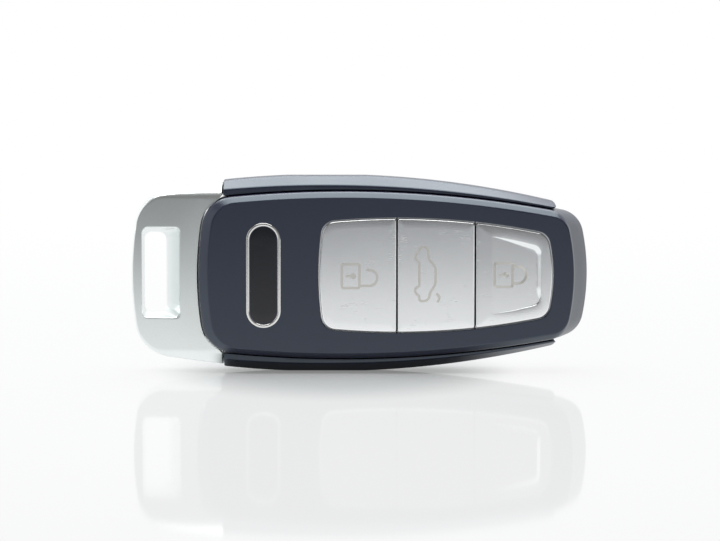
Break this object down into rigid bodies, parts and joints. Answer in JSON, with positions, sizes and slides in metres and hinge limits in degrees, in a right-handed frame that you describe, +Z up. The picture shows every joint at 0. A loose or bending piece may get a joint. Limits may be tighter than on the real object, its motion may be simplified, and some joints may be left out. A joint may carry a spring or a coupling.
{
  "type": "car key fob",
  "caption": "Remote car key fob with push-button caps in a bowed face, side rails, a key-ring loop head on a slide-out blade, a release latch and a snap-off rear cover",
  "frame": {"origin": "on the ground under the middle of the fob, which stands on the ridge of its lower rail", "axes": "+X from the key-ring loop to the tip, -Y out of the button face, +Z up across the width"},
  "size_m": [0.082, 0.0152, 0.0353],
  "materials": {
    "navy_plastic": "fine-grained moulded plastic, navy grey",
    "black_plastic": "moulded black plastic",
    "gloss_inlay": "polished dark inlay",
    "satin_plating": "satin plated zinc casting",
    "cap_silver": "plastic with a satin metallic coat",
    "grey_rubber": "moulded silicone",
    "green_board": "solder-masked laminate",
    "ferrite": "pressed ferrite",
    "copper_wire": "enamelled copper wire",
    "chip_resin": "moulded chip package",
    "component_tan": "ceramic chip components",
    "bright_steel": "bright steel"
  },
  "bodies": {
    "housing": {"front_shell": "navy_plastic", "carrier_frame": "black_plastic", "upper_side_rail": "navy_plastic", "lower_side_rail": "navy_plastic", "badge_plate": "gloss_inlay", "badge_rim": "satin_plating", "button_mat": "grey_rubber", "circuit_board": "green_board", "switch_bodies": "black_plastic", "antenna_core": "ferrite", "antenna_windings": "copper_wire", "controller_chip": "chip_resin", "radio_chip": "chip_resin", "crystal_can": "bright_steel", "board_components": "component_tan", "coin_cell": "bright_steel", "positive_contact": "bright_steel", "negative_contact": "bright_steel", "release_spring": "bright_steel"},
    "cover": {"rear_cover": "navy_plastic"},
    "unlock_button": {"unlock_button_cap": "cap_silver", "unlock_switch_plunger": "black_plastic"},
    "boot_button": {"boot_button_cap": "cap_silver", "boot_switch_plunger": "black_plastic"},
    "lock_button": {"lock_button_cap": "cap_silver", "lock_switch_plunger": "black_plastic"},
    "emergency_key": {"loop_head": "satin_plating", "emergency_blade": "bright_steel", "blade_pin": "bright_steel"},
    "release": {"release_button": "navy_plastic", "latch_yoke": "bright_steel"}
  },
  "joints": [
    {"name": "unlock_press", "type": "slide", "parent": "housing", "child": "unlock_button", "axis": [0, 1, 0], "range_m": [0, 0.00035], "stiffness_N_per_m": 400, "springref_m": -0.004, "deforming": ["button_mat"]},
    {"name": "boot_press", "type": "slide", "parent": "housing", "child": "boot_button", "axis": [0, 1, 0], "range_m": [0, 0.00035], "stiffness_N_per_m": 400, "springref_m": -0.004, "deforming": ["button_mat"]},
    {"name": "lock_press", "type": "slide", "parent": "housing", "child": "lock_button", "axis": [0, 1, 0], "range_m": [0, 0.00035], "stiffness_N_per_m": 400, "springref_m": -0.004, "deforming": ["button_mat"]},
    {"name": "key_slide", "type": "slide", "parent": "housing", "child": "emergency_key", "axis": [-1, 0, 0], "range_m": [0, 0.054]},
    {"name": "release_press", "type": "slide", "parent": "housing", "child": "release", "axis": [0, -1, 0], "range_m": [0, 0.0012], "stiffness_N_per_m": 300, "springref_m": -0.003, "deforming": ["release_spring"]},
    {"name": "cover_lift", "type": "slide", "parent": "housing", "child": "cover", "axis": [0, 1, 0], "range_m": [0, 0.022]}
  ]
}
